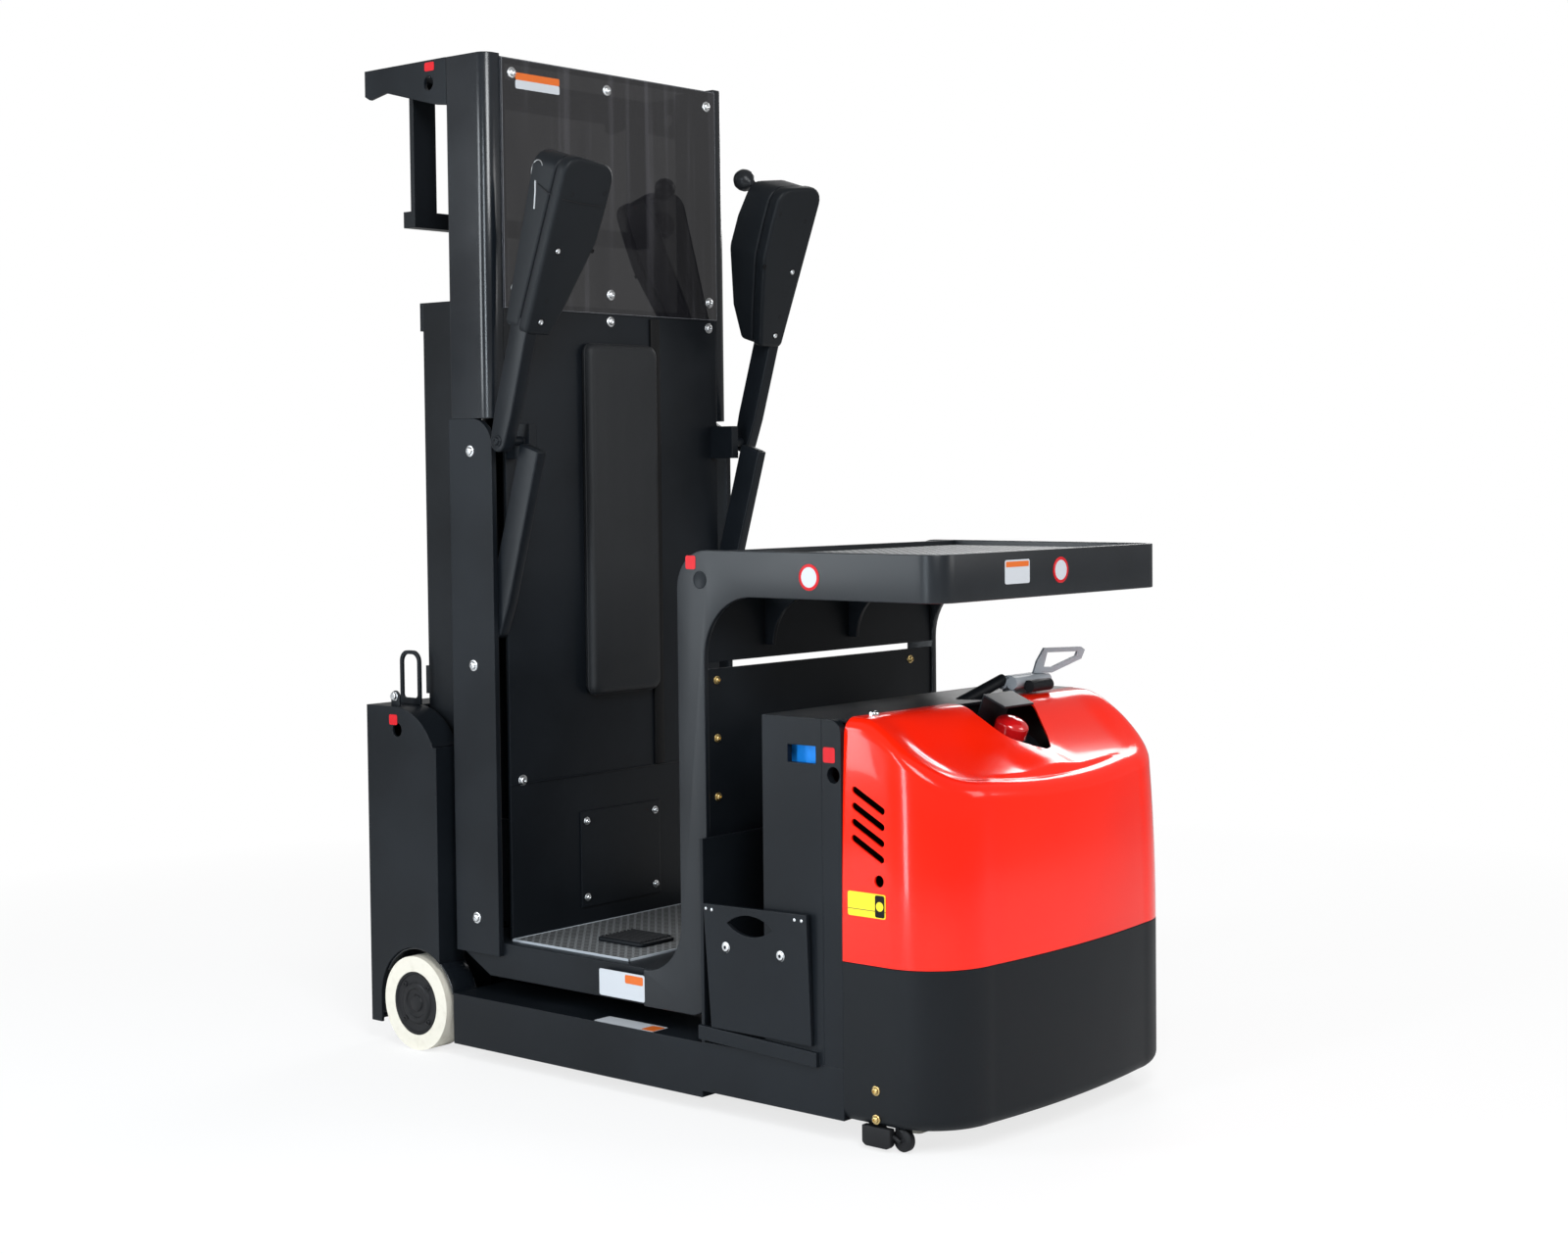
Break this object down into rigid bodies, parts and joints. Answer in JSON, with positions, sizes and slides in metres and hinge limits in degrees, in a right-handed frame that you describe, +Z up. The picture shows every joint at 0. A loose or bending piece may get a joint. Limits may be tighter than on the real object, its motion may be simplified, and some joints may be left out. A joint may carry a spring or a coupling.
{
  "type": "order picker truck",
  "caption": "Self-propelled stand-up order picker truck: lifting operator cab with front tray and folding side arms on a mast, moulded red hood over the front casters.",
  "frame": {"origin": "on the floor, under the middle of the truck's bounding box", "axes": "+X from the mast to the hood, +Y to the truck's far side, +Z up"},
  "size_m": [1.602, 0.7908, 2.087],
  "materials": {
    "battery_blue": "blue painted battery box",
    "frame_black": "satin charcoal powder coat, fine texture",
    "hood_red": "glossy orange-red moulded hood",
    "lens_red": "translucent red lens",
    "mast_black": "semi-gloss black enamel on steel channel",
    "mat_rubber": "black rubber with a chequer pattern",
    "pad_black": "soft skinned foam, low sheen",
    "plug_grey": "grey moulded connector",
    "rod_chrome": "hard chromed rod",
    "shell_black": "moulded black plastic with a fine grain",
    "tyre_white": "non-marking cream polyurethane",
    "window_clear": "smoked polycarbonate sheet",
    "zinc_steel": "zinc plated steel"
  },
  "bodies": {
    "chassis": {"base_frame": "frame_black", "lower_shell": "shell_black", "hood": "hood_red", "battery_case": "frame_black", "battery": "battery_blue", "battery_gate_near": "frame_black", "battery_gate_far": "frame_black", "frame_pillars": "frame_black", "rear_housing": "frame_black", "side_housing_near": "frame_black", "side_housing_far": "frame_black", "outer_mast": "mast_black", "mast_braces": "frame_black", "lift_cylinders": "mast_black", "drive_units": "frame_black", "hose_guards": "frame_black", "skid_brackets": "zinc_steel", "beacon_base": "shell_black", "beacon_lens": "lens_red", "beacon_shield": "frame_black", "power_connector": "plug_grey", "cable_boot": "shell_black", "connector_handle": "plug_grey"},
    "mast_stage": {"inner_mast": "mast_black", "lift_rods": "rod_chrome"},
    "cab": {"side_plates": "frame_black", "platform_floor": "frame_black", "floor_mat": "mat_rubber", "foot_switch": "shell_black", "back_panel": "frame_black", "service_hatch": "frame_black", "backrest_pad": "pad_black", "window": "window_clear", "corner_posts": "frame_black", "top_shelf": "frame_black", "shelf_hanger": "mast_black", "roller_arms": "mast_black", "guide_rollers": "zinc_steel", "front_panel": "frame_black", "tray_gussets": "frame_black", "tray": "frame_black", "tray_mat": "mat_rubber", "arm_brackets": "frame_black", "front_frame_near": "frame_black", "front_frame_far": "frame_black", "frame_feet": "frame_black", "tray_arms": "frame_black", "shelf_arms": "frame_black"},
    "arm_near": {"control_arm_near": "frame_black", "control_head_near": "shell_black"},
    "arm_far": {"control_arm_far": "frame_black", "control_head_far": "shell_black"},
    "gate_near": {"gate_bar_near": "frame_black"},
    "gate_far": {"gate_bar_far": "frame_black"},
    "wheel_near": {"drive_wheel_near": "tyre_white"},
    "wheel_far": {"drive_wheel_far": "tyre_white"},
    "swivel_near": {"caster_fork_near": "zinc_steel"},
    "swivel_far": {"caster_fork_far": "zinc_steel"},
    "caster_near": {"caster_wheel_near": "tyre_white"},
    "caster_far": {"caster_wheel_far": "tyre_white"}
  },
  "joints": [
    {"name": "mast_lift", "type": "slide", "parent": "chassis", "child": "mast_stage", "axis": [0, 0, 1], "range_m": [0, 1.05]},
    {"name": "cab_lift", "type": "slide", "parent": "mast_stage", "child": "cab", "axis": [0, 0, 1], "range_m": [0, 1.05]},
    {"name": "arm_near", "type": "hinge", "parent": "cab", "child": "arm_near", "pos_m": [-0.372, -0.362, 1.29], "axis": [0, 1, 0], "range_deg": [0, 75]},
    {"name": "gate_near", "type": "hinge", "parent": "cab", "child": "gate_near", "pos_m": [-0.43, -0.3295, 0.905], "axis": [0, 1, 0], "range_deg": [0, 75]},
    {"name": "arm_far", "type": "hinge", "parent": "cab", "child": "arm_far", "pos_m": [-0.372, 0.362, 1.29], "axis": [0, 1, 0], "range_deg": [0, 75]},
    {"name": "gate_far", "type": "hinge", "parent": "cab", "child": "gate_far", "pos_m": [-0.43, 0.3295, 0.905], "axis": [0, 1, 0], "range_deg": [0, 75]},
    {"name": "drive_near", "type": "hinge", "parent": "chassis", "child": "wheel_near", "pos_m": [-0.65, -0.354, 0.1], "axis": [0, 1, 0], "continuous": true},
    {"name": "swivel_near", "type": "hinge", "parent": "chassis", "child": "swivel_near", "pos_m": [0.632, -0.222, 0.15], "axis": [0, 0, 1], "continuous": true},
    {"name": "caster_near", "type": "hinge", "parent": "swivel_near", "child": "caster_near", "pos_m": [0.596, -0.222, 0.06], "axis": [0, 1, 0], "continuous": true},
    {"name": "drive_far", "type": "hinge", "parent": "chassis", "child": "wheel_far", "pos_m": [-0.65, 0.354, 0.1], "axis": [0, 1, 0], "continuous": true},
    {"name": "swivel_far", "type": "hinge", "parent": "chassis", "child": "swivel_far", "pos_m": [0.632, 0.222, 0.15], "axis": [0, 0, 1], "continuous": true},
    {"name": "caster_far", "type": "hinge", "parent": "swivel_far", "child": "caster_far", "pos_m": [0.596, 0.222, 0.06], "axis": [0, 1, 0], "continuous": true}
  ],
  "couplings": [
    {"joint": "cab_lift", "follows": "mast_lift", "ratio": 1},
    {"joint": "gate_near", "follows": "arm_near", "ratio": 1},
    {"joint": "gate_far", "follows": "arm_far", "ratio": 1}
  ]
}
